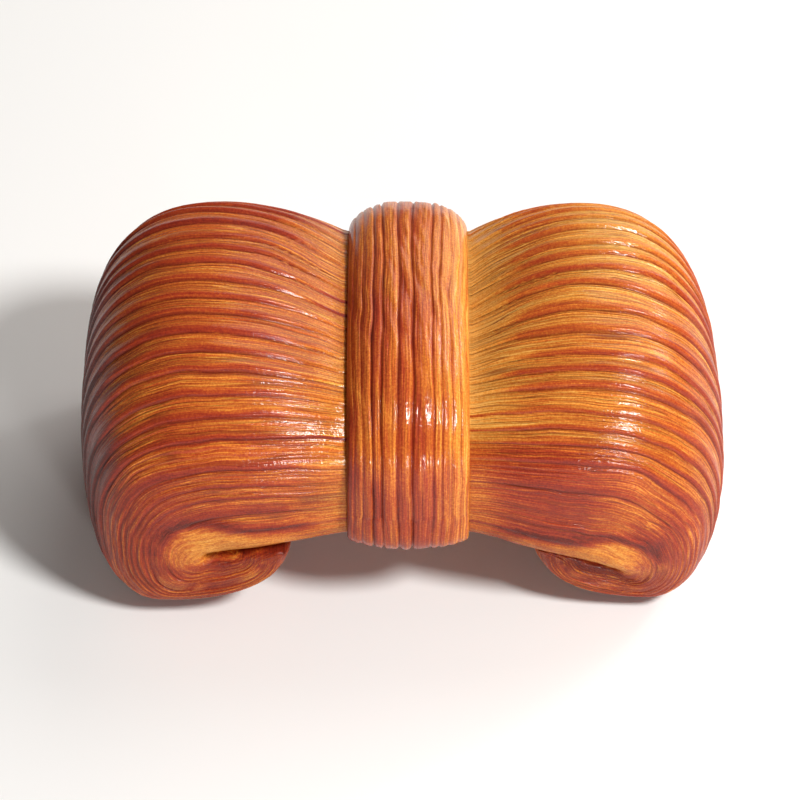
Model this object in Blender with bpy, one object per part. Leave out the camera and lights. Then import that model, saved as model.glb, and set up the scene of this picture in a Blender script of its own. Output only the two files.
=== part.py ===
"""Bow-shaped croissant: a ribbed sheet of laminated dough, pinched in the middle by a band of
the same dough, with both ends curled under into rolls.  Metres, +Z up, +X along the bow,
the front faces -Y, and the origin is under the middle on the surface that it rests on."""

import math
import random

import bmesh
import bpy

MM = 0.001

# ---- driving dimensions, in millimetres ----------------------------------------------------
CREST_Z = 64.0          # highest line of each loop
WAIST_Z = 54.5          # top of the sheet where the band pinches it
WAIST_UNDER_Z = 22.0    # underside of the sheet at the band
OUTMOST_Z = 28.0        # height of the widest line of each loop
SINK = 0.6              # how far the round bottom is pressed flat where it rests
WAIST_HALF_DEPTH = 34.2
LOOP_HALF_DEPTH = 37.3
OUTER_POWER = 2.4       # squareness of the section's outer half
INNER_POWER = 8.0       # squareness of the half that faces the crease or the floor
THIN_EDGE_GAIN = 0.5    # how fast the edges get squarer where the sheet gets thinner
BELLY = 0.37            # height of the section's widest line, as a share of a thick section
THIN_SHARE = 0.35       # sections under this share of the full thickness are symmetric

CREASE_BEND = 1.4       # how late the underside slopes down to the eye
CREASE_GAP = 0.5        # between the sheet's underside and the roll under it
TIP_THICKNESS = 1.4     # of the sheet's end, tucked under at the mouth of the crease
MOUTH_INSET = 1.8       # from the nose of the roll to that mouth
MOUTH_DROP = 1.9        # height of the mouth above the nose of the roll

# shoulder and heel: squareness of the outline above and below a loop's widest line
LEFT = {"way": -1, "out_x": 66.3, "crest_x": 40.0, "base_x": 54.5, "nose_x": 22.8, "taper": -0.003,
        "eye_x": 40.0, "eye_z": 18.8, "nose_half_depth": 36.5, "shoulder": 2.4, "heel": 2.35}
RIGHT = {"way": 1, "out_x": 63.4, "crest_x": 37.0, "base_x": 51.0, "nose_x": 24.2, "taper": -0.03,
         "eye_x": 44.0, "eye_z": 13.6, "nose_half_depth": 33.9, "shoulder": 2.3, "heel": 2.0}
TAPER_REACH = 66.0      # where a loop's taper from front to back is full

BAND_HALF_WIDTH = 12.2
BAND_THICKNESS = 5.1
BAND_RIM_FALL = 3.2     # how much the band's rim falls in at its two edges
BAND_MARGIN = 0.3       # the sheet stays straight this far past the band's rim
BAND_UP = 1.2           # the band's middle sits this much high and back on the sheet it wraps
BAND_BACK = 0.8
CLEARANCE = 0.6         # between the band and the sheet inside it

RIB_PITCH = 4.9         # mean width of a layer's rib
RIB_UNEVEN = 0.28       # share by which that width varies
RIB_DEPTH = 0.9         # from a rib's crest to the groove beside it
BAND_RIB_PITCH = 2.9
BAND_RIB_DEPTH = 0.8
RIB_STEPS = ((0.0, -0.5), (0.34, 0.5), (0.72, 0.32))   # place in a rib, height over mid level

# strands on the half of the section that faces down: a few at each edge, plain between
UNDER_EDGE_TURN = 0.85  # radians of the section that carry ribs below each edge
UNDER_EDGE_RIBS = 3
UNDER_PLAIN_STEPS = 5

# steps along the sheet from its middle to its end, quarter by quarter of the outline
BRIDGE_STEPS = 5
SHOULDER_STEPS = 8
HEEL_STEPS = 7
SOLE_STEPS = 6
NOSE_STEPS = 2
TURN_AT_EYE = 2.3       # the run at which the inner line reaches the eye
LAST_RUN = 5.0

BAND_ROUND_STEPS = 44
CORE_HALF_DEPTH = 29.0  # the roll is fused to the sheet this far out from its middle
CORE_HALF_HEIGHT = 1.6
CORE_SETBACK = 2.5      # from the mouth of the crease to the fused part
CORE_OVERRUN = 1.5      # from the eye to the far end of the fused part

CRUST_COLOUR = (0.50, 0.17, 0.035, 1.0)
BAND_COLOUR = (0.56, 0.20, 0.04, 1.0)
CRUST_ROUGHNESS = 0.42


# ---- small helpers --------------------------------------------------------------------------
def clamp(value, low, high):
    return max(low, min(high, value))


def ease(t):
    t = clamp(t, 0.0, 1.0)
    return t * t * (3.0 - 2.0 * t)


def signed_power(value, power):
    return math.copysign(abs(value) ** power, value)


def crease_z(side, x):
    """Height of the line between the sheet's underside and the roll, at a distance from the middle."""
    start = BAND_HALF_WIDTH + BAND_MARGIN
    t = clamp((x - start) / (side["eye_x"] - start), 0.0, 1.0)
    return WAIST_UNDER_Z + (side["eye_z"] - WAIST_UNDER_Z) * t ** CREASE_BEND


def arc(centre, axes, quarter, t, power=2.0):
    """A point on one quarter of a rounded outline; quarter 0 starts at the top, clockwise."""
    angle = (quarter + t) * math.pi / 2.0
    return (centre[0] + axes[0] * signed_power(math.sin(angle), 2.0 / power),
            centre[1] + axes[1] * signed_power(math.cos(angle), 2.0 / power))


# ---- the sheet's two long lines, seen from the front ----------------------------------------
def from_waist(side, run):
    """0 at the band, 1 at the crest, steepest at the band."""
    start = BAND_HALF_WIDTH + BAND_MARGIN
    t = clamp((run * side["crest_x"] - start) / (side["crest_x"] - start), 0.0, 1.0)
    return 1.0 - (1.0 - t) ** 2


def outer_point(side, run):
    """Outer line of one half: bridge, shoulder, heel, sole and nose, one unit of run each."""
    crest, out, base, nose = side["crest_x"], side["out_x"], side["base_x"], side["nose_x"]
    if run <= 1.0:
        return crest * run, WAIST_Z + (CREST_Z - WAIST_Z) * from_waist(side, run)
    if run <= 2.0:
        axes = (out - crest, CREST_Z - OUTMOST_Z)
        return arc((crest, OUTMOST_Z), axes, 0, run - 1.0, side["shoulder"])
    if run <= 3.0:
        return arc((base, OUTMOST_Z), (out - base, OUTMOST_Z + SINK), 1, run - 2.0, side["heel"])
    height = crease_z(side, nose) - CREASE_GAP / 2.0 - TIP_THICKNESS - MOUTH_DROP
    if run <= 4.0:
        return arc((base, height), (base - nose, height + SINK), 2, run - 3.0)
    return arc((nose + MOUTH_INSET, height), (MOUTH_INSET, MOUTH_DROP), 3, run - 4.0)


def inner_point(side, run):
    """Inner line of one half: the underside out to the eye, then back along the roll's top."""
    eye, mouth = side["eye_x"], side["nose_x"] + MOUTH_INSET
    straight = (BAND_HALF_WIDTH + BAND_MARGIN) / side["crest_x"]
    if run < straight:
        x = side["crest_x"] * run
    elif run < TURN_AT_EYE:
        start = side["crest_x"] * straight
        slowing = side["crest_x"] * (TURN_AT_EYE - straight) / (eye - start)
        x = eye - (eye - start) * (1.0 - (run - straight) / (TURN_AT_EYE - straight)) ** slowing
    else:
        back = (run - TURN_AT_EYE) / (LAST_RUN - TURN_AT_EYE)
        x = eye + (mouth - eye) * (1.0 - math.cos(back * math.pi / 2.0))
    turn = clamp((run - TURN_AT_EYE) / 0.4, -1.0, 1.0)
    return x, crease_z(side, x) - CREASE_GAP / 2.0 * math.sin(turn * math.pi / 2.0)


def half_depth(side, run):
    if run <= 1.0:
        return WAIST_HALF_DEPTH + (LOOP_HALF_DEPTH - WAIST_HALF_DEPTH) * from_waist(side, run)
    return LOOP_HALF_DEPTH + (side["nose_half_depth"] - LOOP_HALF_DEPTH) * ease((run - 1.6) / 1.6)


def section_point(side, run, turn, lift=0.0):
    """A point of the sheet.  turn 0 is its back edge, a quarter turn its outer side, half a turn
    its front edge; lift moves the point out along the section's normal."""
    outer, inner = outer_point(side, run), inner_point(side, run)
    thickness = math.hypot(outer[0] - inner[0], outer[1] - inner[1])
    way_x, way_z = (outer[0] - inner[0]) / thickness, (outer[1] - inner[1]) / thickness
    full = CREST_Z - WAIST_UNDER_Z
    thick = clamp((thickness / full - THIN_SHARE) / (1.0 - THIN_SHARE), 0.0, 1.0)
    belly = thickness * (0.5 - (0.5 - BELLY) * thick)
    depth = half_depth(side, run)
    edge_power = OUTER_POWER * max(1.0, full / thickness) ** THIN_EDGE_GAIN
    if math.sin(turn) >= 0.0:
        power, reach = OUTER_POWER, thickness - belly
    else:
        power, reach = INNER_POWER, belly
        edge_power = max(edge_power, INNER_POWER)
    across = signed_power(math.cos(turn), 2.0 / edge_power)
    out = signed_power(math.sin(turn), 2.0 / power)
    normal_y = edge_power * signed_power(across, edge_power - 1.0) / depth
    normal_out = power * signed_power(out, power - 1.0) / reach
    length = math.hypot(normal_y, normal_out)
    y = depth * across + lift * normal_y / length
    push = belly + reach * out + lift * normal_out / length
    x, z = inner[0] + way_x * push, inner[1] + way_z * push
    x *= 1.0 + side["taper"] * y / LOOP_HALF_DEPTH * clamp(abs(x) / TAPER_REACH, 0.0, 1.0)
    return side["way"] * x, y, z


# ---- ribs -----------------------------------------------------------------------------------
def uneven_edges(start, end, pitch, seed):
    """Edges of ribs of uneven width that fill the stretch from start to end."""
    count = max(1, round((end - start) / pitch))
    draw = random.Random(seed)
    widths = [1.0 + draw.uniform(-RIB_UNEVEN, RIB_UNEVEN) for _ in range(count)]
    scale = (end - start) / sum(widths)
    edges = [start]
    for width in widths:
        edges.append(edges[-1] + width * scale)
    return edges


def rib_steps(edges):
    """Places along the ribs, each with its height over the mid level."""
    steps = []
    for low, high in zip(edges, edges[1:]):
        steps += [(low + (high - low) * part, height) for part, height in RIB_STEPS]
    return steps


def outer_half_lengths(side, run, steps=240):
    """Turns over the section's outer half and the length travelled to each from its back edge."""
    turns = [math.pi * i / steps for i in range(steps + 1)]
    points = [section_point(side, run, turn) for turn in turns]
    travelled = [0.0]
    for a, b in zip(points, points[1:]):
        travelled.append(travelled[-1] + math.dist(a, b))
    return turns, travelled


def turns_at_shares(side, run, shares):
    """The section's turn at each share, in rising order, of the length over its outer half."""
    fine, travelled = outer_half_lengths(side, run)
    turns, i = [], 0
    for share in shares:
        target = share * travelled[-1]
        while travelled[i + 1] < target:
            i += 1
        part = (target - travelled[i]) / (travelled[i + 1] - travelled[i])
        turns.append(fine[i] + part * (fine[i + 1] - fine[i]))
    return turns


def under_steps():
    """Turns below the two edges: ribs next to each edge and plain steps between them."""
    edge_pitch = UNDER_EDGE_TURN / UNDER_EDGE_RIBS
    front = uneven_edges(math.pi, math.pi + UNDER_EDGE_TURN, edge_pitch, seed=12)
    back = uneven_edges(2.0 * math.pi - UNDER_EDGE_TURN, 2.0 * math.pi, edge_pitch, seed=13)
    plain = (back[0] - front[-1]) / UNDER_PLAIN_STEPS
    between = [(front[-1] + plain * i, 0.0) for i in range(UNDER_PLAIN_STEPS)]
    return rib_steps(front) + between + rib_steps(back)


def rib_strength(side, run):
    """Ribs fade under the band and towards the sheet's tucked end."""
    under_band = ease((side["crest_x"] * run - BAND_HALF_WIDTH - BAND_MARGIN) / 7.0)
    tucked = 1.0 - ease(run - 3.6)
    return under_band * tucked


# ---- meshes ---------------------------------------------------------------------------------
def half_runs(side):
    runs = [0.0, (BAND_HALF_WIDTH + BAND_MARGIN) / side["crest_x"]]
    runs += [runs[1] + (1.0 - runs[1]) * i / BRIDGE_STEPS for i in range(1, BRIDGE_STEPS + 1)]
    for start, steps in ((1, SHOULDER_STEPS), (2, HEEL_STEPS), (3, SOLE_STEPS), (4, NOSE_STEPS)):
        runs += [start + i / steps for i in range(1, steps + 1)]
    return runs


def sheet_rings():
    """Rings of points round the sheet, from its left end over the middle to its right end."""
    _, travelled = outer_half_lengths(LEFT, 1.0)
    top = rib_steps(uneven_edges(0.0, 1.0, RIB_PITCH / travelled[-1], seed=11))
    under = under_steps()
    stations = [(LEFT, run) for run in reversed(half_runs(LEFT))]
    stations += [(RIGHT, run) for run in half_runs(RIGHT)[1:]]
    rings = []
    for side, run in stations:
        turns = turns_at_shares(side, run, [share for share, _ in top])
        steps = list(zip(turns, [height for _, height in top])) + under
        ring = []
        for turn, height in steps:
            above_floor = ease(section_point(side, run, turn)[2] / 7.0)
            lift = RIB_DEPTH * height * rib_strength(side, run) * above_floor
            x, y, z = section_point(side, run, turn, lift)
            ring.append((x, y, max(z, 0.0)))
        rings.append(ring)
    return rings


def band_rings():
    """Sections across the band, each a loop: out over the ribbed outside and back inside."""
    edges = uneven_edges(-1.0, 1.0, BAND_RIB_PITCH / BAND_HALF_WIDTH, seed=21)
    outside = rib_steps(edges) + [(1.0, -0.5)]
    rings = []
    for step in range(BAND_ROUND_STEPS):
        turn = 2.0 * math.pi * (step + 0.5) / BAND_ROUND_STEPS
        ring = []
        for place, height in outside:
            lift = BAND_THICKNESS - BAND_RIM_FALL * abs(place) ** 3 + BAND_RIB_DEPTH * height
            shifted = 1.0 - place ** 4
            _, y, z = section_point(LEFT, 0.0, turn, lift)
            ring.append((BAND_HALF_WIDTH * place, y + BAND_BACK * shifted, z + BAND_UP * shifted))
        _, y, z = section_point(LEFT, 0.0, turn, CLEARANCE)
        ring += [(BAND_HALF_WIDTH * place, y, z) for place in (0.96, 0.0, -0.96)]
        rings.append(ring)
    return rings


def skin(rings, closed):
    """A closed body over rings of equal length; an open row of rings gets a fan on each end."""
    mesh = bmesh.new()
    rows = [[mesh.verts.new([value * MM for value in point]) for point in ring] for ring in rings]
    count = len(rows[0])
    pairs = list(zip(rows, rows[1:])) + ([(rows[-1], rows[0])] if closed else [])
    for near, far in pairs:
        for i in range(count):
            j = (i + 1) % count
            mesh.faces.new((near[i], far[i], far[j], near[j]))
    if not closed:
        for row in (rows[0], rows[-1]):
            centre = mesh.verts.new([sum(v.co[axis] for v in row) / count for axis in range(3)])
            for i in range(count):
                mesh.faces.new((row[i], row[(i + 1) % count], centre))
    bmesh.ops.recalc_face_normals(mesh, faces=mesh.faces)
    return mesh


def core_mesh():
    """Two slabs, one along each crease, that fuse the rolls to the sheet inside."""
    mesh = bmesh.new()
    for side in (LEFT, RIGHT):
        start, end = side["nose_x"] + MOUTH_INSET + CORE_SETBACK, side["eye_x"] + CORE_OVERRUN
        columns = []
        for i in range(7):
            x = start + (end - start) * i / 6
            z = crease_z(side, x)
            corners = [(y, z + up) for y in (-CORE_HALF_DEPTH, CORE_HALF_DEPTH)
                       for up in (-CORE_HALF_HEIGHT, CORE_HALF_HEIGHT)]
            order = (corners[0], corners[1], corners[3], corners[2])
            columns.append([mesh.verts.new((side["way"] * x * MM, y * MM, up * MM)) for y, up in order])
        for near, far in zip(columns, columns[1:]):
            for i in range(4):
                mesh.faces.new((near[i], far[i], far[(i + 1) % 4], near[(i + 1) % 4]))
        mesh.faces.new(columns[0])
        mesh.faces.new(columns[-1])
    bmesh.ops.recalc_face_normals(mesh, faces=mesh.faces)
    return mesh


# ---- objects --------------------------------------------------------------------------------
def crust_material(name, colour):
    material = bpy.data.materials.new(name)
    material.use_nodes = True
    shader = material.node_tree.nodes["Principled BSDF"]
    shader.inputs["Base Color"].default_value = colour
    shader.inputs["Roughness"].default_value = CRUST_ROUGHNESS
    shader.inputs["Metallic"].default_value = 0.0
    return material


def add_object(name, mesh, material):
    data = bpy.data.meshes.new(name)
    mesh.to_mesh(data)
    mesh.free()
    thing = bpy.data.objects.new(name, data)
    bpy.context.scene.collection.objects.link(thing)
    data.materials.append(material)
    return thing


def fuse(thing, core):
    """Join a hidden core to a body and leave the core out of the model."""
    core.hide_render = True
    core.display_type = "WIRE"
    union = thing.modifiers.new("core", "BOOLEAN")
    union.operation = "UNION"
    union.solver = "EXACT"
    union.object = core


def centre_on_origin(things):
    """Bring the middle of the whole bow's box over the origin."""
    bpy.context.view_layer.update()
    for axis in (0, 1):
        values = [corner.co[axis] for thing in things for corner in thing.data.vertices]
        shift = -(min(values) + max(values)) / 2.0
        for thing in things:
            for corner in thing.data.vertices:
                corner.co[axis] += shift


def main():
    for thing in list(bpy.data.objects):
        bpy.data.objects.remove(thing, do_unlink=True)
    crust = crust_material("crust", CRUST_COLOUR)
    sheet = add_object("ribbed_bow", skin(sheet_rings(), closed=False), crust)
    core = add_object("bow_core", core_mesh(), crust)
    band = add_object("knot_band", skin(band_rings(), closed=True), crust_material("band_crust", BAND_COLOUR))
    fuse(sheet, core)
    centre_on_origin((sheet, band, core))


main()
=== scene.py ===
import math
from types import SimpleNamespace

import bpy
import numpy as np
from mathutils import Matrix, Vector


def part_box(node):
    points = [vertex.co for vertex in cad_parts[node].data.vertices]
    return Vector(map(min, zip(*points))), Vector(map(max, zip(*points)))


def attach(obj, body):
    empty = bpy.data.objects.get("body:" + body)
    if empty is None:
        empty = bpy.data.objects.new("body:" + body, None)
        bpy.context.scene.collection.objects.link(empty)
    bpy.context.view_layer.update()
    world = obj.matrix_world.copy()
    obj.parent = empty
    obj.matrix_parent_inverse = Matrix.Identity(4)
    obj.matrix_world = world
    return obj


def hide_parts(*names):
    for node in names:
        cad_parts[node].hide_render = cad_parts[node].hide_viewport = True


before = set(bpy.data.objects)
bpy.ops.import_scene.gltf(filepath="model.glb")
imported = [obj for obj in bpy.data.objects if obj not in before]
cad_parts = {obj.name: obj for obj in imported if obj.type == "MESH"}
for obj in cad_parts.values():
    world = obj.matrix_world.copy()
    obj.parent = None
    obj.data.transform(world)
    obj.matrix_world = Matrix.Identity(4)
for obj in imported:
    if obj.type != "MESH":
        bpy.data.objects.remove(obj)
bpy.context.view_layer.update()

mm = 0.001

# the form of the dough: all lengths in millimetres, x along the bow, the front faces -y
sheetForm = {
    "crestZ": 64.0, "waistZ": 54.5, "waistUnderZ": 22.0, "outmostZ": 28.0, "sink": 0.6,
    "waistHalfDepth": 34.2, "loopHalfDepth": 37.3,
    "outerPower": 2.4, "innerPower": 11.0, "thinEdgeGain": 0.5, "belly": 0.37, "thinShare": 0.35,
    "creaseBend": 1.4, "creaseGap": 0.5, "tipThickness": 1.4, "mouthInset": 1.8, "mouthDrop": 1.9,
    "turnAtEye": 2.3, "lastRun": 5.0, "taperReach": 66.0,
}
leftLoop = {"way": -1, "outX": 66.3, "crestX": 40.0, "baseX": 54.5, "noseX": 22.8, "taper": -0.003,
            "eyeX": 40.0, "eyeZ": 18.8, "noseHalfDepth": 36.5, "shoulder": 2.4, "heel": 2.35, "seed": 11}
rightLoop = {"way": 1, "outX": 63.4, "crestX": 37.0, "baseX": 51.0, "noseX": 24.2, "taper": -0.03,
             "eyeX": 41.5, "eyeZ": 13.9, "noseHalfDepth": 33.9, "shoulder": 2.3, "heel": 2.0, "seed": 47}
bandForm = {"halfWidth": 12.2, "thickness": 4.75, "rimFall": 3.1, "rimPower": 3.0, "up": 1.2, "back": 0.8,
            "margin": 0.3, "clearance": 0.6, "halfRim": 0.25}


# small helpers
def ease(t):
    t = np.clip(t, 0.0, 1.0)
    return t * t * (3.0 - 2.0 * t)


def rise(value, start, length):  # 0 up to start, 1 from start + length on
    return ease((value - start) / length)


def fall(value, start, length):
    return 1.0 - rise(value, start, length)


def bump(value, centre, width):
    return np.exp(-((value - centre) / width) ** 2)


def signedPower(value, power):
    return np.copysign(np.abs(value) ** power, value)


def smoothNoise(x, y, seed):  # value noise from -1 to 1, one bump per unit
    x, y = np.broadcast_arrays(np.asarray(x, float), np.asarray(y, float))
    cellX, cellY = np.floor(x), np.floor(y)
    partX, partY = ease(x - cellX), ease(y - cellY)

    def corner(i, j):
        value = np.sin(i * 12.9898 + j * 78.233 + seed * 37.719) * 43758.5453
        return value - np.floor(value)

    low = corner(cellX, cellY) * (1 - partX) + corner(cellX + 1, cellY) * partX
    high = corner(cellX, cellY + 1) * (1 - partX) + corner(cellX + 1, cellY + 1) * partX
    return 2.0 * (low * (1 - partY) + high * partY) - 1.0


# the sheet's long lines; run goes 0 band, 1 crest, 2 widest line, 3 bottom, 4 nose, 5 tucked end
def straightEnd():
    return bandForm["halfWidth"] + bandForm["margin"]


def creaseHeight(loop, x):
    start = straightEnd()
    t = np.clip((x - start) / (loop["eyeX"] - start), 0.0, 1.0)
    under = sheetForm["waistUnderZ"]
    return under + (loop["eyeZ"] - under) * t ** sheetForm["creaseBend"]


def fromWaist(loop, run):
    start = straightEnd()
    t = np.clip((run * loop["crestX"] - start) / (loop["crestX"] - start), 0.0, 1.0)
    return 1.0 - (1.0 - t) ** 2


def arcPoint(centre, axes, quarter, t, power=2.0):
    angle = (quarter + np.clip(t, 0.0, 1.0)) * math.pi / 2.0
    return (centre[0] + axes[0] * signedPower(np.sin(angle), 2.0 / power),
            centre[1] + axes[1] * signedPower(np.cos(angle), 2.0 / power))


def outerLine(loop, run):
    form = sheetForm
    crest, out, base, nose = loop["crestX"], loop["outX"], loop["baseX"], loop["noseX"]
    outmost, inset = form["outmostZ"], form["mouthInset"]
    height = creaseHeight(loop, nose) - form["creaseGap"] / 2 - form["tipThickness"] - form["mouthDrop"]
    bridge = (crest * run, form["waistZ"] + (form["crestZ"] - form["waistZ"]) * fromWaist(loop, run))
    shoulder = arcPoint((crest, outmost), (out - crest, form["crestZ"] - outmost), 0, run - 1, loop["shoulder"])
    heel = arcPoint((base, outmost), (out - base, outmost + form["sink"]), 1, run - 2, loop["heel"])
    sole = arcPoint((base, height), (base - nose, height + form["sink"]), 2, run - 3)
    tip = arcPoint((nose + inset, height), (inset, form["mouthDrop"]), 3, run - 4)
    quarters = [run <= 1, run <= 2, run <= 3, run <= 4]
    return tuple(np.select(quarters, [bridge[i], shoulder[i], heel[i], sole[i]], tip[i]) for i in (0, 1))


def innerLine(loop, run):
    form = sheetForm
    eye, mouth, turnRun = loop["eyeX"], loop["noseX"] + form["mouthInset"], form["turnAtEye"]
    start = straightEnd()
    straight = start / loop["crestX"]
    slowing = loop["crestX"] * (turnRun - straight) / (eye - start)
    left = np.clip(1.0 - (run - straight) / (turnRun - straight), 0.0, 1.0)
    going = eye - (eye - start) * left ** slowing
    back = np.clip((run - turnRun) / (form["lastRun"] - turnRun), 0.0, 1.0)
    coming = eye + (mouth - eye) * (1.0 - np.cos(back * math.pi / 2.0))
    x = np.select([run < straight, run < turnRun], [loop["crestX"] * run, going], coming)
    turn = np.clip((run - turnRun) / 0.4, -1.0, 1.0)
    return x, creaseHeight(loop, x) - form["creaseGap"] / 2.0 * np.sin(turn * math.pi / 2.0)


def halfDepth(loop, run):
    form = sheetForm
    pinched = form["waistHalfDepth"] + (form["loopHalfDepth"] - form["waistHalfDepth"]) * fromWaist(loop, run)
    rolled = form["loopHalfDepth"] + (loop["noseHalfDepth"] - form["loopHalfDepth"]) * rise(run, 1.6, 1.6)
    return np.where(run <= 1.0, pinched, rolled)


# a point of the sheet: turn 0 back edge, pi/2 outer side, pi front edge, 3pi/2 under side
def sheetPoint(loop, run, turn, lift=0.0):
    form = sheetForm
    outer, inner = outerLine(loop, run), innerLine(loop, run)
    wayX, wayZ = outer[0] - inner[0], outer[1] - inner[1]
    thickness = np.hypot(wayX, wayZ)
    wayX, wayZ = wayX / thickness, wayZ / thickness
    full = form["crestZ"] - form["waistUnderZ"]
    thick = np.clip((thickness / full - form["thinShare"]) / (1.0 - form["thinShare"]), 0.0, 1.0)
    belly = thickness * (0.5 - (0.5 - form["belly"]) * thick)
    depth = halfDepth(loop, run)
    edgePower = form["outerPower"] * np.maximum(1.0, full / thickness) ** form["thinEdgeGain"]
    outside = np.sin(turn) >= 0.0
    power = np.where(outside, form["outerPower"], form["innerPower"])
    reach = np.where(outside, thickness - belly, belly)
    edgePower = np.where(outside, edgePower, np.maximum(edgePower, form["innerPower"]))
    across = signedPower(np.cos(turn), 2.0 / edgePower)
    out = signedPower(np.sin(turn), 2.0 / power)
    normalY = edgePower * signedPower(across, edgePower - 1.0) / depth
    normalOut = power * signedPower(out, power - 1.0) / reach
    length = np.hypot(normalY, normalOut) + 1e-12
    y = depth * across + lift * normalY / length
    push = belly + reach * out + lift * normalOut / length
    x, z = inner[0] + wayX * push, inner[1] + wayZ * push
    x = x * (1.0 + loop["taper"] * y / form["loopHalfDepth"] * np.clip(np.abs(x) / form["taperReach"], 0, 1))
    return np.stack([loop["way"] * x, y, z], -1)


def lengthsRound(loop, run, start, end, steps=720):  # turns and the length travelled to each
    turns = np.linspace(start, end, steps + 1)
    points = sheetPoint(loop, np.full_like(turns, run), turns)
    hops = np.linalg.norm(np.diff(points, axis=0), axis=1)
    return turns, np.concatenate([[0.0], np.cumsum(hops)])


# strands of the laminated dough: places of their dark crests, in mm over the loop from its back edge
strandLook = {
    "leftCrests": (3.0, 7.2, 11.8, 15.4, 20.1, 25.2, 29.6, 35.5, 41.7, 45.2, 49.2, 54.5, 59.3, 63.4, 68.4, 72.8,
                   76.8, 81.9, 86.4, 90.9, 96.3, 99.7, 102.3, 105.8, 109.5, 112.2, 115.0, 117.6, 120.0),
    "rightCrests": (2.2, 6.9, 10.7, 15.9, 20.4, 24.3, 29.5, 34.0, 38.8, 44.6, 47.8, 52.3, 56.7, 63.7, 68.4, 74.0,
                    77.7, 80.8, 86.3, 89.9, 93.1, 96.1, 100.9, 105.8, 109.3, 112.0, 114.8, 117.5, 120.2),
    "crestPlace": 0.86,      # where in a strand its dark crest lies
    "depth": 1.15,           # from a crest to the groove in front of it
    "firstSpacing": 4.4,     # mm from strand to strand before the first crest and after the last
    "lastSpacing": 2.6,
    "spacing": 4.9,          # mm of the streaks in the crust for one strand
    "fineDepth": 0.20,       # of the fine grooves inside a strand; their places and strengths
    "fineGrooves": ((0.13, 1.0), (0.27, 1.0), (0.38, 1.0), (0.47, 1.0), (0.58, 1.0), (0.70, 0.4)),
    "wave": 0.13,            # how far a strand wanders, in strands
    "sweep": 2.6,            # mm that a strand slides towards the front on its way to the band
    "sweepReach": 22.0,      # mm from the band at which it starts
    "pinched": 0.34,         # share of the depth that is left at the band
    "freeBy": 15.0,          # mm from the band by which a strand is full
}
ridgeProfile = ((0.0, -0.60), (0.035, -0.46), (0.08, -0.24), (0.16, -0.10), (0.245, -0.20), (0.285, -0.30),
                (0.33, -0.14), (0.40, -0.04), (0.455, -0.14), (0.50, 0.00), (0.62, 0.20), (0.74, 0.38),
                (0.84, 0.44), (0.91, 0.36), (0.955, 0.06), (0.985, -0.45), (1.0, -0.60))
brownProfile = ((0.0, 0.85), (0.03, 0.50), (0.06, 0.15), (0.12, 0.03), (0.26, 0.10), (0.34, 0.02), (0.44, 0.16),
                (0.52, 0.10), (0.64, 0.24), (0.72, 0.50), (0.80, 0.84), (0.88, 1.0), (0.97, 1.0), (1.0, 0.85))


def profile(t, table):
    table = np.array(table)
    return np.interp(t, table[:, 0], table[:, 1])


def strandPhase(loop, s):
    look = strandLook
    crests = np.array(look["leftCrests" if loop["way"] < 0 else "rightCrests"])
    count = np.arange(len(crests)) + look["crestPlace"]
    before = count[0] + (s - crests[0]) / look["firstSpacing"]
    after = count[-1] + (s - crests[-1]) / look["lastSpacing"]
    phase = np.interp(s, crests, count)
    return np.where(s < crests[0], before, np.where(s > crests[-1], after, phase))


def strandShape(phase, along, seed):  # height in mm, browning, grooves with their painted shade, fine dark lines and painted glint lines, place
    look = strandLook
    wander = smoothNoise(along / 17.0, phase * 0.45, seed)
    wander = wander + 0.5 * smoothNoise(along / 6.0, phase * 0.9, seed + 3)
    phase = phase + look["wave"] * wander
    strand = np.floor(phase)
    warp = 1.0 + 0.22 * smoothNoise(strand * 1.37, along / 40.0, seed + 4)   # some strands are browner
    t = (phase - strand) ** warp
    bold = 0.84 + 0.26 * smoothNoise(strand * 1.7, 0.5, seed + 1)
    bold = bold * (0.94 + 0.16 * smoothNoise(along / 19.0, strand * 2.3, seed + 2))
    fine, light = np.zeros_like(t), np.zeros_like(t)
    for k, (place, most) in enumerate(look["fineGrooves"]):
        centre = place + 0.05 * smoothNoise(strand * 1.3 + k, along / 24.0, seed + 5 + k)
        here = 0.35 + 0.85 * smoothNoise(strand * 2.1 + 5 * k, along / 22.0, seed + 19 + k)
        here = most * np.clip(here, 0.0, 1.0)
        fine += here * bump(t, centre, 0.026)
        # painted glints: thin light lines beside the fine grooves
        light += here * bump(t, centre + 0.05, 0.030)
    rim = np.clip(0.45 + 0.8 * smoothNoise(strand * 3.3, along / 26.0, seed + 26), 0.0, 1.0)
    light += rim * bump(t, 0.66, 0.024)       # a painted glint along the edge above a brown crest
    share = np.clip(0.84 + 0.42 * smoothNoise(strand * 1.9, along / 45.0, seed + 27), 0.42, 1.08)
    height = bold * profile(t, ridgeProfile) * look["depth"] - look["fineDepth"] * (fine - 0.6 * light)
    # where painted shade darkens the groove in front of each crest
    grooveShade = bump(t, 0.0, 0.05) + bump(t, 1.0, 0.035)
    return SimpleNamespace(height=height, brown=share * profile(t, brownProfile), grooveShade=np.clip(grooveShade, 0, 1),
                           fine=np.clip(fine, 0, 1), light=np.clip(light, 0, 1), phase=phase)


# the faces of the rolls: rings round the eye's slit, and the light tongue of dough over the crease
rollLook = {
    "slitBefore": 5.0, "slitAfter": 2.5,      # reach of the innermost ring before and past the eye
    "faceReach": 14.0, "faceGain": 9.0,        # mm from the edge line out to the first ring, and in to the slit
    "faceFrom": -15.0, "faceOver": 12.0,       # mm past the edge line where a face starts, and to its full
    "faceSooner": 8.0,                         # mm that it starts sooner on the rolls
    "pitch": 1.35, "ringDepth": 0.20, "lipHeight": 0.12,
    "tongueRuns": (1.6, 2.0, 2.4, 2.8, 3.3), "tongueWidths": (9.4, 7.2, 4.6, 2.0, 0.0),
    "tongueEnd": 3.4,
    "strandShare": 0.22,                       # of the strands' depth that is left on a face
}


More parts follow.
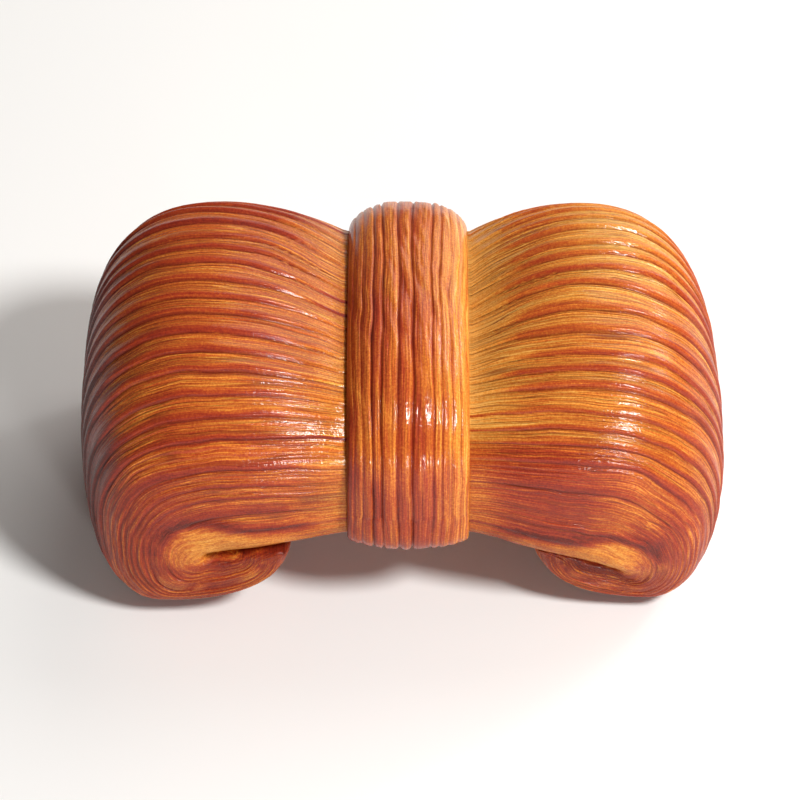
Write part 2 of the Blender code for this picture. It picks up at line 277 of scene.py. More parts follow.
def slitDistance(loop, run, x, z):
    look = rollLook
    startX, endX = loop["eyeX"] - look["slitBefore"], loop["eyeX"] + look["slitAfter"]
    startZ, endZ = creaseHeight(loop, startX), creaseHeight(loop, endX)
    wayX, wayZ = endX - startX, endZ - startZ
    part = np.clip(((x - startX) * wayX + (z - startZ) * wayZ) / (wayX ** 2 + wayZ ** 2), 0.0, 1.0)
    toSlit = np.hypot(x - startX - part * wayX, z - startZ - part * wayZ)
    above = np.abs(z - creaseHeight(loop, x))
    return np.where((run < sheetForm["turnAtEye"]) & (x < startX), above, toSlit)


def faceLines(s, outerLength, slit):  # s on the outer side; on the faces its lines turn to follow the slit
    reach, gain = rollLook["faceReach"], rollLook["faceGain"]
    past = np.maximum(s - outerLength, -s)
    start = np.argmin(np.abs(s[0] - (outerLength - reach)))
    beyond = gain - slit * (gain + reach) / slit[:, start][:, None]
    under = rise(past, 11.0, 6.0)
    beyond = np.where(past > -reach, beyond * (1.0 - under) + past * under, past)
    return np.where(s > outerLength / 2.0, outerLength + beyond, -beyond)


def tongueWidth(loop, run, x):
    width = np.interp(run, rollLook["tongueRuns"], rollLook["tongueWidths"])
    over = np.interp(x, (loop["noseX"] - 6.0, loop["noseX"] + 8.0, loop["eyeX"]), (0.46, 0.66, 1.0))
    return width * np.where(run < 2.0, over, 1.0)


# meshes
sheetMesh = {"stations": 76, "outerSteps": 500, "innerSteps": 152, "edgeGather": 0.118}


def setFlow(data, flow, closed):  # u and v of the faces' corners; flow holds those of the points
    ringU = np.concatenate([flow["u"], flow["closingU"][:, None]], axis=1)
    rowV = np.append(flow["v"], flow["closingV"]) if closed else flow["v"]
    nearU, farU = (ringU, np.roll(ringU, -1, axis=0)) if closed else (ringU[:-1], ringU[1:])
    nearV, farV = rowV[:-1], rowV[1:]
    shape = nearU[:, :-1].shape
    u = np.stack([nearU[:, :-1], farU[:, :-1], farU[:, 1:], nearU[:, 1:]], -1)
    v = np.stack([np.broadcast_to(value[:, None], shape) for value in (nearV, farV, farV, nearV)], -1)
    uv = np.zeros((len(data.loops), 2))
    uv[:u.size] = np.stack([u.ravel(), v.ravel()], -1)
    data.uv_layers.new(name="flow").data.foreach_set("uv", uv.ravel())


def setMark(data, mark, values):  # the points that close the ends get 0
    layer = data.attributes.new(mark, "FLOAT", "POINT")
    values = np.concatenate([values.ravel(), np.zeros(len(data.vertices) - values.size)])
    layer.data.foreach_set("value", values.astype(np.float32))


def meshObject(name, rows, flow, marks, closed):  # rows of points in mm, each row a ring
    rowCount, ringCount = rows.shape[:2]
    ids = np.arange(rowCount * ringCount).reshape(rowCount, ringCount)
    near, far = (ids, np.roll(ids, -1, axis=0)) if closed else (ids[:-1], ids[1:])
    faces = np.stack([near, far, np.roll(far, -1, axis=1), np.roll(near, -1, axis=1)], -1)
    faces = faces.reshape(-1, 4).tolist()
    points = rows.reshape(-1, 3)
    if not closed:
        for row, turn in ((ids[0], 1), (ids[-1], -1)):
            points = np.concatenate([points, points[row].mean(axis=0)[None]])
            fan = np.stack([row, np.roll(row, -1), np.full(ringCount, len(points) - 1)], -1)
            faces += fan[:, ::turn].tolist()
    data = bpy.data.meshes.new(name)
    data.from_pydata((points * mm).tolist(), [], faces)
    data.update()
    setFlow(data, flow, closed)
    for mark, values in marks.items():
        setMark(data, mark, values)
    data.shade_smooth()
    thing = bpy.data.objects.new(name, data)
    bpy.context.scene.collection.objects.link(thing)
    return thing


def runsAlong(loop, steps):  # evenly spaced runs and how far along the outer line each one lies
    fine = np.linspace(0.0, sheetForm["lastRun"], 4001)
    x, z = outerLine(loop, fine)
    travelled = np.concatenate([[0.0], np.cumsum(np.hypot(np.diff(x), np.diff(z)))])
    weight = travelled + 5.0 * fine
    runs = np.interp(np.linspace(0.0, weight[-1], steps + 1), weight, fine)
    return runs, np.interp(runs, fine, travelled)


def evenTurns(loop, runs):  # turns of the ring's points, their mm over the loop, and the outer side's length
    outerShares = np.linspace(0.0, 1.0, sheetMesh["outerSteps"] + 1)[:-1]
    even = np.linspace(0.0, 1.0, sheetMesh["innerSteps"] + 1)[:-1]
    innerShares = even - sheetMesh["edgeGather"] * np.sin(2.0 * math.pi * even)
    turns = np.zeros((len(runs), len(outerShares) + len(innerShares)))
    for row, run in enumerate(runs):
        fine, lengths = lengthsRound(loop, run, 0.0, math.pi)
        turns[row, :len(outerShares)] = np.interp(outerShares * lengths[-1], lengths, fine)
        fine, lengths = lengthsRound(loop, run, math.pi, 2.0 * math.pi)
        turns[row, len(outerShares):] = np.interp(innerShares * lengths[-1], lengths, fine)
    outerLength = lengthsRound(loop, 1.0, 0.0, math.pi)[1][-1]
    innerLength = lengthsRound(loop, 1.0, math.pi, 2.0 * math.pi)[1][-1]
    front = outerLength + innerShares * innerLength
    back = -(1.0 - innerShares) * innerLength
    s = np.concatenate([outerShares * outerLength, np.where(innerShares < 0.5, front, back)])
    return turns, np.broadcast_to(s, turns.shape), outerLength


def placesOn(loop):  # where the sheet's points lie; past is mm beyond the edge line, over the under side
    runs, travelled = runsAlong(loop, sheetMesh["stations"])
    turns, s, outerLength = evenTurns(loop, runs)
    run = np.broadcast_to(runs[:, None], turns.shape)
    along = np.broadcast_to(travelled[:, None], turns.shape)
    points = sheetPoint(loop, run, turns)
    x, z = loop["way"] * points[..., 0], points[..., 2]
    slit = slitDistance(loop, run, x, z)
    return SimpleNamespace(run=run, turns=turns, s=s, along=along, travelled=travelled, outerLength=outerLength,
                           fromBand=along - straightEnd(), past=np.maximum(s - outerLength, -s), x=x, z=z,
                           slit=slit, lineS=faceLines(s, outerLength, slit))


def zonesOn(loop, at):  # how much of each zone a point belongs to, 0 to 1
    look, eye = rollLook, loop["eyeX"]
    sooner = look["faceSooner"] * rise(at.run, 1.5, 0.9)
    face = rise(at.past + sooner, look["faceFrom"], look["faceOver"])     # front and back faces of the rolls
    onFace = face * rise(at.run, 1.0, 1.2)
    pastEye = at.run > sheetForm["turnAtEye"]
    lower = face * pastEye
    width = tongueWidth(loop, at.run, at.x)
    tongue = face * fall(at.slit, width - 1.2, 2.6) * rise(at.fromBand, 6.0, 10.0)
    tongue = tongue * (at.run < look["tongueEnd"]) * (1.0 - pastEye * fall(at.x, eye - 1.5, 3.0))
    return SimpleNamespace(
        onFace=onFace, lower=lower, tongue=tongue, plain=np.maximum(tongue, onFace),
        underside=rise(at.past, 16.0, 6.0), offFloor=rise(at.z, 0.3, 6.0),
        pastBand=rise(at.fromBand, -1.5, 2.0), tucked=fall(at.run, 4.2, 0.6),
        lip=bump(at.slit, 0.8, 0.32) * lower * bump(at.x, eye - 2.0, 4.0),
        # painted shade along the crease, and in the recess under the lip
        seam=0.12 * bump(at.slit, 0.0, 0.55) * face * (1.0 - lower) + 0.15 * bump(at.slit, 2.1, 0.7) * lower,
        edging=bump(at.slit, width + 1.8, 1.4) * face * (at.run < 2.1) * rise(at.fromBand, 4.0, 8.0))


def strandsOn(loop, at, zone):  # the strands and how strongly they stand out
    look = strandLook
    middle = np.sin(math.pi * np.clip(at.s / at.outerLength, 0, 1) ** 0.8)
    sweep = look["sweep"] * fall(at.fromBand, 0.0, look["sweepReach"]) * middle
    strands = strandShape(strandPhase(loop, at.lineS - sweep), at.along, loop["seed"])
    strength = look["pinched"] + (1.0 - look["pinched"]) * rise(at.fromBand, 0.0, look["freeBy"])
    strength = strength * zone.pastBand * zone.tucked * zone.offFloor * (1.0 - 0.85 * zone.underside)
    strength = strength * (1.0 - (1.0 - rollLook["strandShare"]) * zone.plain)
    return strands, strength * (1.0 - 0.35 * rise(at.past, -17.0, 7.0))


def ringsOn(loop, at, zone):  # the rings' waves and where they show
    seed = loop["seed"] + 30
    ring = at.lineS / rollLook["pitch"] + 0.35 * smoothNoise(at.along / 9.0, at.lineS / 4.0, seed)
    bold = 0.65 + 0.5 * smoothNoise(np.floor(ring) * 1.7, at.along / 16.0, seed + 1)
    shows = zone.onFace * zone.offFloor * (1.0 - zone.underside) * (1.0 - 0.6 * zone.tongue)
    return np.sin(2.0 * math.pi * ring) * bold, shows


# tones of the crust, 0 pale gold to 1 dark brown; a pair says where a change starts and over what length,
# in mm or in runs, and 900 mm and 9 runs lie beyond the end of the sheet
# each bake paints a sheen of light on the top back of its loop, mostly on the right loop, and paints shade over
# the outer flank, mostly on the left loop
leftBake = {"valley": 0.445, "crest": 0.77, "crestDrop": 0.0, "bandDrop": 0.13, "brownFrom": 9.5, "face": 0.05,
            "paintedSheen": 0.5, "sheenAlong": (30.0, 18.0), "sheenOver": (10.0, 26.0), "sheenLoss": 0.0,
            "front": 0.3, "frontOver": (84.0, 8.0), "frontAlong": (900.0, 22.0), "frontCrest": 0.0,
            "flankShade": 0.45, "flankShadeFrom": (1.45, 0.5), "flankShadeTo": (1.9, 0.8), "flankShadeLoss": 0.8}
rightBake = {"valley": 0.31, "crest": 0.66, "crestDrop": 0.10, "bandDrop": 0.23, "brownFrom": 5.0, "face": 0.10,
             "paintedSheen": 1.0, "sheenAlong": (26.0, 18.0), "sheenOver": (42.0, 26.0), "sheenLoss": 0.6,
             "front": 2.1, "frontOver": (90.0, 7.0), "frontAlong": (38.0, 22.0), "frontCrest": 0.04,
             "flankShade": 0.08, "flankShadeFrom": (1.2, 0.4), "flankShadeTo": (9.0, 0.8), "flankShadeLoss": 0.0}
# the two sheen shares say how far the painted sheen lightens valleys and crests
bakeLook = {"patch": 0.05, "sheenValley": 0.25, "sheenCrest": 0.28, "frontValley": 0.14,
            "face": 0.56, "facePatch": 0.08, "faceShare": 0.45, "faceMiddle": 0.42,
            "ringDark": 0.1875, "ringLight": 0.225, "tongue": 0.18, "tonguePatch": 0.04, "tongueRing": 0.10,
            "tongueInner": 0.11, "tongueOuter": 0.18, "tongueUnder": 0.16,
            # light is how far the painted glints lighten the tone
            "edging": 0.30, "lip": 0.16, "light": 0.17, "underside": 0.58, "floorRim": 0.25}


def brownOn(loop, bake, at, zone, strands):  # how far from the band the browning sets in, and the browning
    wander = 3.0 * smoothNoise(at.s / 4.0, 0.3, loop["seed"] + 41)
    onset = rise(at.fromBand + wander, bake["brownFrom"], 11.0)
    held = 0.9 * (1.0 - onset)
    brown = np.clip((strands.brown - held) / np.maximum(1.0 - held, 0.1), 0, 1.1)
    return onset, brown * (0.42 + 0.58 * rise(at.s, 10.0, 28.0)) * (1.0 - 0.70 * zone.plain)


def toneOn(loop, bake, at, zone, strands, brown, wave, ringShows):
    look, eye = bakeLook, loop["eyeX"]
    patch = smoothNoise(at.along / 13.0, at.s / 9.0, loop["seed"] + 40)
    # painted sheen: the top back of the loop lightened as if lit by the back light
    paintedSheen = bake["paintedSheen"] * rise(at.along, *bake["sheenAlong"]) * fall(at.s, *bake["sheenOver"])
    paintedSheen = paintedSheen * (1.0 - bake["sheenLoss"] * rise(at.run, 1.25, 0.5))
    front = bake["front"] * rise(at.s, *bake["frontOver"]) * fall(at.along, *bake["frontAlong"])
    # painted shade: the outer flank darkened, strongly on the left loop that faces away from the light
    flankShade = bake["flankShade"] * rise(at.run, *bake["flankShadeFrom"]) * fall(at.run, *bake["flankShadeTo"])
    flankShade = flankShade * (1.0 - bake["flankShadeLoss"] * rise(at.past, -22.0, 10.0))
    crest = bake["crest"] - bake["crestDrop"] * fall(at.fromBand, 4.0, 22.0) + bake["frontCrest"] * front
    valley = bake["valley"] - bake["bandDrop"] * fall(at.fromBand, 0.0, 13.0) + look["patch"] * patch
    valley = valley - look["sheenValley"] * paintedSheen + look["frontValley"] * front
    tone = valley + (crest - look["sheenCrest"] * paintedSheen - valley) * brown
    tone = tone + bake["face"] * rise(at.past, -20.0, 14.0)

    faceTone = look["face"] + look["facePatch"] * patch + look["faceShare"] * (tone - look["faceMiddle"])
    tone = tone + (faceTone - tone) * zone.onFace * (1.0 - zone.tongue) + flankShade
    arcs = 1.0 + 0.4 * zone.lower * fall(at.x, eye - 5.0, 3.0)
    rings = look["ringDark"] * np.clip(-wave, 0, 1) - look["ringLight"] * np.clip(wave, 0, 1) ** 2
    tone = tone + ringShows * arcs * rise(at.slit, 0.4, 1.0) * rings
    tongueTone = look["tongue"] + bake["face"] + look["tonguePatch"] * patch + look["tongueRing"] * wave
    tongueTone = tongueTone + look["tongueInner"] * fall(at.x, eye - 15.0, 11.0)
    tongueTone = tongueTone + look["tongueOuter"] * rise(at.x, eye + 1.0, 6.0)
    tongueTone = tongueTone + look["tongueUnder"] * rise(at.run, 2.2, 0.4)
    tone = tone + (tongueTone - tone) * zone.tongue

    # painted shade darkens the crease
    tone = tone + look["edging"] * zone.edging - look["lip"] * zone.lip + zone.seam
    # painted glints lighten the thin light lines
    tone = tone - look["light"] * strands.light * (1.0 - 0.6 * brown) * (1.0 - zone.plain)
    tone = tone + (look["underside"] - tone) * zone.underside
    return tone + look["floorRim"] * (1.0 - zone.offFloor)


def sheetRows(loop, bake):
    at = placesOn(loop)
    zone = zonesOn(loop, at)
    strands, strength = strandsOn(loop, at, zone)
    wave, ringShows = ringsOn(loop, at, zone)
    lift = strands.height * strength + rollLook["ringDepth"] * wave * ringShows * zone.tucked
    points = sheetPoint(loop, at.run, at.turns, lift + rollLook["lipHeight"] * zone.lip)
    points[..., 2] = np.maximum(points[..., 2], 0.0)

    onset, brown = brownOn(loop, bake, at, zone, strands)
    lines = (0.30 + 0.70 * (1.0 - np.clip(brown, 0, 1))) * (1.0 - zone.underside) * (1.0 - 0.5 * zone.tongue)
    # painted shade in the grooves between strands and in their fine seams
    grooves = np.clip(strands.grooveShade + 0.8 * strands.fine, 0, 1)
    grooves = grooves * np.clip(1.25 * strength + 0.15 * (1.0 - onset), 0, 1)
    marks = {"tone": toneOn(loop, bake, at, zone, strands, brown, wave, ringShows), "grooveShade": grooves,
             "lines": lines * zone.pastBand, "under": zone.underside + 1.0 - zone.offFloor}
    marks = {name: np.clip(values, 0, 1) for name, values in marks.items()}
    return points, strandLook["spacing"] * strands.phase, at.travelled, marks


def makeBow():
    left, leftU, leftAlong, leftMarks = sheetRows(leftLoop, leftBake)
    right, rightU, rightAlong, rightMarks = sheetRows(rightLoop, rightBake)
    rows = np.concatenate([left[::-1], right[1:]])
    v = np.concatenate([-leftAlong[::-1], rightAlong[1:]])
    u = np.concatenate([leftU[::-1], rightU[1:]])
    marks = {name: np.concatenate([leftMarks[name][::-1], rightMarks[name][1:]]) for name in leftMarks}
    flow = {"u": u, "closingU": u[:, 0], "v": v}
    return meshObject("ribbedCrust", rows, flow, marks, closed=False)


bandLook = {
    # place of a groove across the band, how deep it is, and the tone of the strand on its right
    "grooves": ((-12.3, 0.3, 0.60), (-10.9, 0.35, 0.50), (-9.1, 0.4, 0.42), (-7.0, 0.8, 0.64),
                (-5.1, 1.0, 0.44), (-1.9, 0.5, 0.56), (0.85, 0.95, 0.54), (4.7, 0.6, 0.42), (6.4, 0.4, 0.34),
                (8.3, 0.35, 0.25), (10.2, 0.25, 0.18), (11.6, 0.25, 0.14), (12.4, 0.3, 0.2)),
    "shade": ((0.0, 0.22), (0.08, 0.14), (0.3, 0.08), (0.6, -0.06), (0.85, -0.12), (0.94, -0.08), (1.0, 0.15)),
    "roundSteps": 460, "acrossSteps": 150, "hairs": 30, "hairsFrom": -12.0, "hairsOver": 24.2,
    "depth": 0.62, "wrinkle": 0.13, "fineDepth": 0.14,
    "middleTone": 0.45, "contrast": 0.76, "lines": 0.58, "insideMark": 0.5, "uStart": 400.0,
}


def bandWave(at, across, radius, seed):  # noise that closes round the ring
    return smoothNoise(across + radius * np.cos(at.circle), 5.0 + radius * np.sin(at.circle), seed)


def placesOnBand():
    turn, lengths = lengthsRound(leftLoop, 0.0, 0.0, 2.0 * math.pi, 1440)
    along = np.linspace(0.0, lengths[-1], bandLook["roundSteps"] + 1)[:-1]
    even = np.linspace(-1.0, 1.0, bandLook["acrossSteps"] + 1)
    gathered = 0.75 * even + 0.25 * np.sin(even * math.pi / 2.0)
    turns, place = np.meshgrid(np.interp(along, lengths, turn), gathered, indexing="ij")
    circle = np.broadcast_to(2.0 * math.pi * along[:, None] / lengths[-1], turns.shape)
    at = SimpleNamespace(along=along, length=lengths[-1], turns=turns, place=place, circle=circle,
                         x=place * bandForm["halfWidth"])
    at.drift = 0.50 * bandWave(at, at.x / 9.0, 1.8, 5) + 0.16 * bandWave(at, at.x / 4.0, 5.0, 6)
    return at


def bandStrands(at):
    grooves = np.array(bandLook["grooves"])
    numbers = np.arange(len(grooves))
    phase = np.interp(at.x + at.drift, grooves[:, 0], numbers)
    number = np.clip(np.floor(phase), 0, len(grooves) - 2)
    t = phase - number
    gap = np.interp(number, numbers[:-1], np.diff(grooves[:, 0]))

    def depthOf(which):
        return np.interp(which, numbers, grooves[:, 1]) * (0.75 + 0.45 * bandWave(at, which * 1.9, 3.5, 7))

    deep = depthOf(number) * bump(t * gap, 0.0, 0.27) + depthOf(number + 1) * bump((1.0 - t) * gap, 0.0, 0.20)
    fine, light = np.zeros_like(at.x), np.zeros_like(at.x)
    for k in range(bandLook["hairs"]):
        part = (k + 0.5 + 0.4 * math.sin(k * 7.3)) / bandLook["hairs"]
        centre = bandLook["hairsFrom"] + bandLook["hairsOver"] * part
        here = np.clip(0.35 + 0.9 * bandWave(at, 3.1 * k, 4.5, 60), 0, 1)
        fine += here * bump(at.x + at.drift, centre, 0.12)
        # a painted glint beside each fine line
        light += here * bump(at.x + at.drift, centre - 0.24, 0.14)
    tone = 0.35 * np.interp(phase, numbers, grooves[:, 2]) + 0.65 * np.interp(number, numbers, grooves[:, 2])
    return SimpleNamespace(t=t, deep=np.clip(deep, 0, 1.2), fine=fine, light=light, tone=tone,
                           dome=(1.0 - np.abs(2.0 * t - 1.0) ** 2.4) * np.clip(gap / 3.0, 0.4, 1.0))


def bandTone(at, strands, wrinkle):
    share = at.turns / math.pi      # 0 back edge, 0.5 top, 1 front edge, 1.5 bottom
    lower = rise(share, 0.86, 0.12) * fall(share, 1.3, 0.2)
    upper = fall(share, 0.40, 0.16)
    tone = strands.tone * (1.0 + 0.22 * bandWave(at, at.x / 5.0, 4.0, 9))
    tone = tone + profile(strands.t, bandLook["shade"]) - 0.10 * lower - 0.10 * upper
    tone = tone + 0.10 * np.clip(-wrinkle, 0, 1) - 0.06 * np.clip(wrinkle, 0, 1)
    # the thin light lines are painted glints, and the left rim gets painted shade beside the left loop
    tone = tone - 0.14 * strands.light * (1.0 - np.clip(strands.deep, 0, 1)) + 0.10 * bump(at.x, -11.6, 1.2)
    middle = bandLook["middleTone"]
    return middle + (bandLook["contrast"] - 0.22 * upper) * (tone - middle) + 0.20 * lower


def makeBand():
    form, look = bandForm, bandLook
    at = placesOnBand()
    strands = bandStrands(at)
    wrinkle = bandWave(at, at.x / 1.3 + at.drift, 7.0, 61) + 0.6 * bandWave(at, at.x / 0.7 + at.drift, 9.0, 62)
    relief = look["depth"] * (0.34 * strands.dome - 0.95 * strands.deep)
    relief = relief + look["wrinkle"] * wrinkle - look["fineDepth"] * strands.fine
    rim = np.abs(at.place)
    corner = np.clip((rim - 0.9) / 0.1, 0, 1)
    lift = form["thickness"] - form["rimFall"] * rim ** form["rimPower"]
    lift = lift - 0.8 * (1.0 - np.sqrt(1.0 - 0.99 * corner ** 2)) + relief * (1.0 - 0.65 * rim ** 5)
    lift = np.maximum(lift, form["clearance"] + form["halfRim"])
    outer = sheetPoint(leftLoop, np.zeros_like(at.x), at.turns, lift)
    shift = 1.0 - at.place ** 4
    outer[..., 0] = at.x
    outer[..., 1] += form["back"] * shift
    outer[..., 2] += form["up"] * shift
    underside = form["clearance"] - form["halfRim"]
    inner = sheetPoint(leftLoop, np.zeros_like(at.x[:, :3]), at.turns[:, :3], underside)
    inner[..., 0] = np.array([0.97, 0.0, -0.97]) * form["halfWidth"]

    tone = bandTone(at, strands, wrinkle)
    inside = np.full(inner.shape[:2], look["insideMark"])
    # the groove mark paints shade into the band's grooves
    marks = {"tone": np.clip(tone, 0, 1), "grooveShade": np.clip(0.36 * strands.deep + 0.2 * strands.fine, 0, 1),
             "lines": np.full_like(tone, look["lines"]), "under": np.zeros_like(tone)}
    marks = {name: np.concatenate([values, inside], axis=1) for name, values in marks.items()}
    insideU = np.broadcast_to([12.6, 20.0, 28.0], inside.shape)
    u = np.concatenate([at.x + at.drift, insideU], axis=1) + look["uStart"]
    flow = {"u": u, "closingU": u[:, -1] + 1.0, "v": at.along, "closingV": at.length}
    return meshObject("bandCrust", np.concatenate([outer, inner], axis=1), flow, marks, closed=True)


print("building the meshes")
bow = makeBow()
band = makeBand()
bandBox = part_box("knot_band")
middleX = (bandBox[0][0] + bandBox[1][0]) / 2.0
middleY = (bandBox[0][1] + bandBox[1][1]) / 2.0 - bandForm["back"] * mm
for piece in (bow, band):
    places = np.empty(len(piece.data.vertices) * 3)
    piece.data.vertices.foreach_get("co", places)
    places = places.reshape(-1, 3) + np.array([middleX, middleY, 0.0])
    piece.data.vertices.foreach_set("co", places.ravel())
    piece.data.update()
    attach(piece, "root")
print("bow", len(bow.data.polygons), "band", len(band.data.polygons))


# materials
crustColours = ((0.0, (0.89, 0.46, 0.105)), (0.12, (0.79, 0.328, 0.050)), (0.28, (0.68, 0.208, 0.026)),
                (0.43, (0.52, 0.106, 0.014)), (0.62, (0.36, 0.040, 0.009)), (0.82, (0.235, 0.018, 0.007)),
                (1.0, (0.10, 0.009, 0.004)))
crustLook = {
    "specular": 0.09, "coat": 0.46, "coatRoughness": 0.12,
    "roughness": 0.70, "brownSmoother": 0.24, "thinRougher": 0.35, "underRougher": 0.3,
    "lineBump": 0.12, "grainBump": 0.05, "crackleBump": 0.066, "grainScale": 2300.0,
    "broadTone": 0.30, "thinTone": 0.34, "grainTone": 0.62, "glintTone": 0.22,
    "darkLines": 0.62, "fineLines": 0.36, "grooveShadeShare": 0.60, "underShare": 0.5,
    # the second colour is the near-black of the painted shade in grooves
    "lineColour": (0.20, 0.030, 0.008, 1.0), "grooveShadeColour": (0.085, 0.012, 0.005, 1.0),
    "underColour": (0.62, 0.55, 0.5, 1.0),
}
bandCrustLook = {**crustLook, "crackleBump": 0.09, "coat": 0.60}


def addNode(tree, kind, **settings):
    node = tree.nodes.new(kind)
    for key, value in settings.items():
        setattr(node, key, value)
    return node


def feed(tree, socket, value):  # from another socket, or a constant
    if isinstance(value, bpy.types.NodeSocket):
        tree.links.new(value, socket)
    else:
        socket.default_value = value


def reckon(tree, operation, a, b=0.0, clamp=False):
    node = addNode(tree, "ShaderNodeMath", operation=operation, use_clamp=clamp)
    feed(tree, node.inputs[0], a)
    feed(tree, node.inputs[1], b)
    return node.outputs[0]


def times(tree, a, b):
    return reckon(tree, "MULTIPLY", a, b)


def plus(tree, a, b, clamp=False):
    return reckon(tree, "ADD", a, b, clamp)


def minus(tree, a, b):
    return reckon(tree, "SUBTRACT", a, b)


def swing(tree, noise, amount):  # a noise about its middle
    return times(tree, minus(tree, noise, 0.5), amount)


def mark(tree, kind):
    return addNode(tree, "ShaderNodeAttribute", attribute_name=kind).outputs["Fac"]


def noiseNode(tree, place, scale, detail, roughness, dimensions="3D"):
    node = addNode(tree, "ShaderNodeTexNoise", noise_dimensions=dimensions)
    for name, value in (("Vector", place), ("Scale", scale), ("Detail", detail), ("Roughness", roughness)):
        feed(tree, node.inputs[name], value)
    return node.outputs["Fac"]


def streaks(tree, flow, across, lengthwise, detail, offset=0.0):  # noise drawn out along the strands
    scaled = addNode(tree, "ShaderNodeVectorMath", operation="MULTIPLY_ADD")
    feed(tree, scaled.inputs[0], flow)
    feed(tree, scaled.inputs[1], (across, lengthwise, 1.0))
    feed(tree, scaled.inputs[2], (offset, offset * 0.7, 0.0))
    return noiseNode(tree, scaled.outputs[0], 1.0, detail, 0.6, "2D")


def hairlines(tree, noise, width):  # thin lines where the noise passes its middle
    node = addNode(tree, "ShaderNodeMapRange", interpolation_type="SMOOTHSTEP")
    feed(tree, node.inputs["Value"], reckon(tree, "ABSOLUTE", minus(tree, noise, 0.5)))
    for name, value in (("From Max", width), ("To Min", 1.0), ("To Max", 0.0)):
        feed(tree, node.inputs[name], value)
    return node.outputs[0]


def blend(tree, kind, amount, base, colour):
    node = addNode(tree, "ShaderNodeMix", data_type="RGBA", blend_type=kind)
    for socket, value in ((0, amount), (6, base), (7, colour)):
        feed(tree, node.inputs[socket], value)
    return node.outputs[2]


def colourRamp(tree, tone, colours):
    node = addNode(tree, "ShaderNodeValToRGB")
    elements = node.color_ramp.elements
    while len(elements) < len(colours):
        elements.new(0.5)
    for element, (place, colour) in zip(elements, colours):
        element.position = place
        element.color = (*colour, 1.0)
    feed(tree, node.inputs["Fac"], tone)
    return node.outputs["Color"]


def bumpNode(tree, height, distance, before=None):  # distance in mm
    node = addNode(tree, "ShaderNodeBump")
    feed(tree, node.inputs["Strength"], 1.0)
    feed(tree, node.inputs["Distance"], distance * mm)
    feed(tree, node.inputs["Height"], height)
    if before is not None:
        feed(tree, node.inputs["Normal"], before)
    return node.outputs[0]


def crustMaterial(name, look):
    material = bpy.data.materials.new(name)
    material.use_nodes = True
    tree = material.node_tree
    shader = tree.nodes["Principled BSDF"].inputs
    flow = addNode(tree, "ShaderNodeUVMap", uv_map="flow").outputs[0]
    broad = streaks(tree, flow, 1.1, 0.06, 3.0)
    thin = streaks(tree, flow, 4.2, 0.16, 3.0)
    darkLines = hairlines(tree, streaks(tree, flow, 0.95, 0.020, 0.3, 13.0), 0.045)
    fineLines = hairlines(tree, streaks(tree, flow, 2.1, 0.032, 0.3, 41.0), 0.050)
    # thin lines of painted glints
    glintLines = hairlines(tree, streaks(tree, flow, 1.25, 0.024, 0.3, 77.0), 0.050)
    crackle = streaks(tree, flow, 1.2, 1.3, 2.0, 5.0)
    place = addNode(tree, "ShaderNodeTexCoord").outputs["Object"]
    grain = noiseNode(tree, place, look["grainScale"], 3.0, 0.65)
    lineShare, under = mark(tree, "lines"), mark(tree, "under")

    shift = plus(tree, swing(tree, broad, look["broadTone"]), swing(tree, thin, look["thinTone"]))
    shift = plus(tree, shift, swing(tree, grain, look["grainTone"]))
    # painted glints lighten the tone along those lines
    shift = minus(tree, shift, times(tree, times(tree, glintLines, lineShare), look["glintTone"]))
    tone = plus(tree, mark(tree, "tone"), shift, clamp=True)
    dark, fine = times(tree, darkLines, look["darkLines"]), times(tree, fineLines, look["fineLines"])
    lines = times(tree, plus(tree, dark, fine, clamp=True), lineShare)
    # painted shade: grooves mixed towards a near-black brown
    grooves = times(tree, mark(tree, "grooveShade"), look["grooveShadeShare"])
    colour = blend(tree, "MIX", lines, colourRamp(tree, tone, crustColours), look["lineColour"])
    colour = blend(tree, "MIX", grooves, colour, look["grooveShadeColour"])
    colour = blend(tree, "MULTIPLY", times(tree, under, look["underShare"]), colour, look["underColour"])
    feed(tree, shader["Base Color"], colour)

    rough = minus(tree, look["roughness"], times(tree, tone, look["brownSmoother"]))
    rough = plus(tree, rough, swing(tree, thin, look["thinRougher"]))
    feed(tree, shader["Roughness"], plus(tree, rough, times(tree, under, look["underRougher"]), clamp=True))
    shader["Specular IOR Level"].default_value = look["specular"]
    shader["Coat Weight"].default_value = look["coat"]
    shader["Coat Roughness"].default_value = look["coatRoughness"]

    lineHeight = minus(tree, times(tree, broad, 1.2), times(tree, lines, 1.3))
    lineHeight = plus(tree, lineHeight, times(tree, thin, 0.9))
    lineNormal = bumpNode(tree, lineHeight, look["lineBump"])
    feed(tree, shader["Normal"], bumpNode(tree, grain, look["grainBump"], lineNormal))
    coatHeight = plus(tree, crackle, times(tree, broad, 0.5))
    feed(tree, shader["Coat Normal"], bumpNode(tree, coatHeight, look["crackleBump"]))
    return material


print("materials")
bow.data.materials.append(crustMaterial("glazedRibbedCrust", crustLook))
band.data.materials.append(crustMaterial("glazedBandCrust", bandCrustLook))
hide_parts("ribbed_bow")
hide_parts("knot_band")


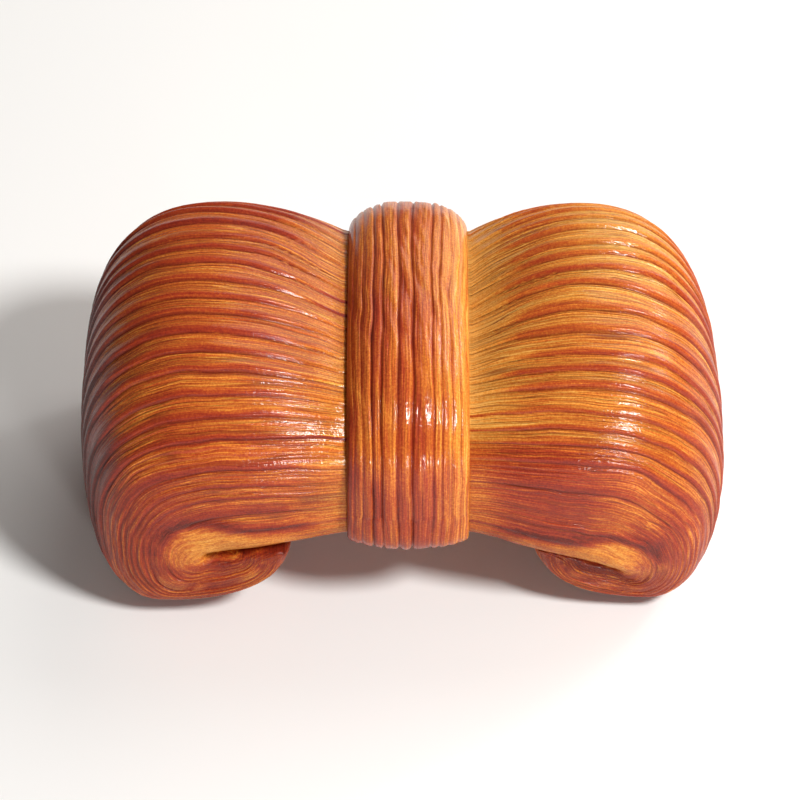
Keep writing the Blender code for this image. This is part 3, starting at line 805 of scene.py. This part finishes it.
# floor, light and camera
studio = {"floorHalf": 2.0, "floorColour": (0.90, 0.90, 0.90, 1.0), "floorRoughness": 0.7,
          "worldColour": (1.0, 0.95, 0.89, 1.0), "worldStrength": 0.15, "lampTargetZ": 30.0}
warmWhite = (1.0, 0.985, 0.96)
lamps = {
    "key": {"way": (0.50, -0.42, 0.78), "away": 0.95, "size": 0.19, "power": 9.2, "colour": warmWhite},
    "back": {"way": (0.55, 0.70, 0.60), "away": 1.1, "size": 1.3, "power": 8.0, "colour": (1.0, 0.96, 0.91)},
    "side": {"way": (0.74, 0.51, 0.44), "away": 1.0, "size": 0.16, "power": 1.4, "colour": (1.0, 0.985, 0.97)},
    "front": {"way": (0.33, -0.93, 0.13), "away": 1.1, "size": 0.135, "power": 4.2, "colour": warmWhite},
}
view = {"elevation": 45.0, "away": 900.0, "targetZ": 27.3, "lens": 196.8, "shiftX": -0.01, "shiftY": 0.0025}


def aim(thing, place, target):
    thing.location = place
    way = target - place
    thing.rotation_euler = way.to_track_quat("-Z", "Y").to_euler()


def makeFloor():
    half = studio["floorHalf"]
    data = bpy.data.meshes.new("floor")
    corners = [(-half, -half, 0), (half, -half, 0), (half, half, 0), (-half, half, 0)]
    data.from_pydata(corners, [], [(0, 1, 2, 3)])
    floor = bpy.data.objects.new("floor", data)
    bpy.context.scene.collection.objects.link(floor)
    paint = bpy.data.materials.new("paleFloor")
    paint.use_nodes = True
    inputs = paint.node_tree.nodes["Principled BSDF"].inputs
    inputs["Base Color"].default_value = studio["floorColour"]
    inputs["Roughness"].default_value = studio["floorRoughness"]
    data.materials.append(paint)


def makeWorld():
    world = bpy.data.worlds.new("studio")
    world.use_nodes = True
    inputs = world.node_tree.nodes["Background"].inputs
    inputs["Color"].default_value = studio["worldColour"]
    inputs["Strength"].default_value = studio["worldStrength"]
    bpy.context.scene.world = world


def makeLamps():
    for name, lamp in lamps.items():
        light = bpy.data.lights.new(name, "AREA")
        light.shape = "DISK"
        light.size = lamp["size"]
        light.energy = lamp["power"]
        light.color = lamp["colour"]
        thing = bpy.data.objects.new(name, light)
        bpy.context.scene.collection.objects.link(thing)
        centre = Vector((middleX, middleY, studio["lampTargetZ"] * mm))
        aim(thing, centre + Vector(lamp["way"]).normalized() * lamp["away"], centre)


def makeCamera():
    data = bpy.data.cameras.new("camera")
    data.sensor_width = 36.0
    data.lens = view["lens"]
    data.shift_x = view["shiftX"]
    data.shift_y = view["shiftY"]
    data.clip_start = 0.01
    camera = bpy.data.objects.new("camera", data)
    bpy.context.scene.collection.objects.link(camera)
    target = Vector((middleX, middleY, view["targetZ"] * mm))
    tilt = math.radians(view["elevation"])
    aim(camera, target + Vector((0.0, -math.cos(tilt), math.sin(tilt))) * view["away"] * mm, target)
    bpy.context.scene.camera = camera


makeFloor()
makeWorld()
makeLamps()
makeCamera()
bpy.context.scene.view_settings.view_transform = "Standard"
print("studio ready")
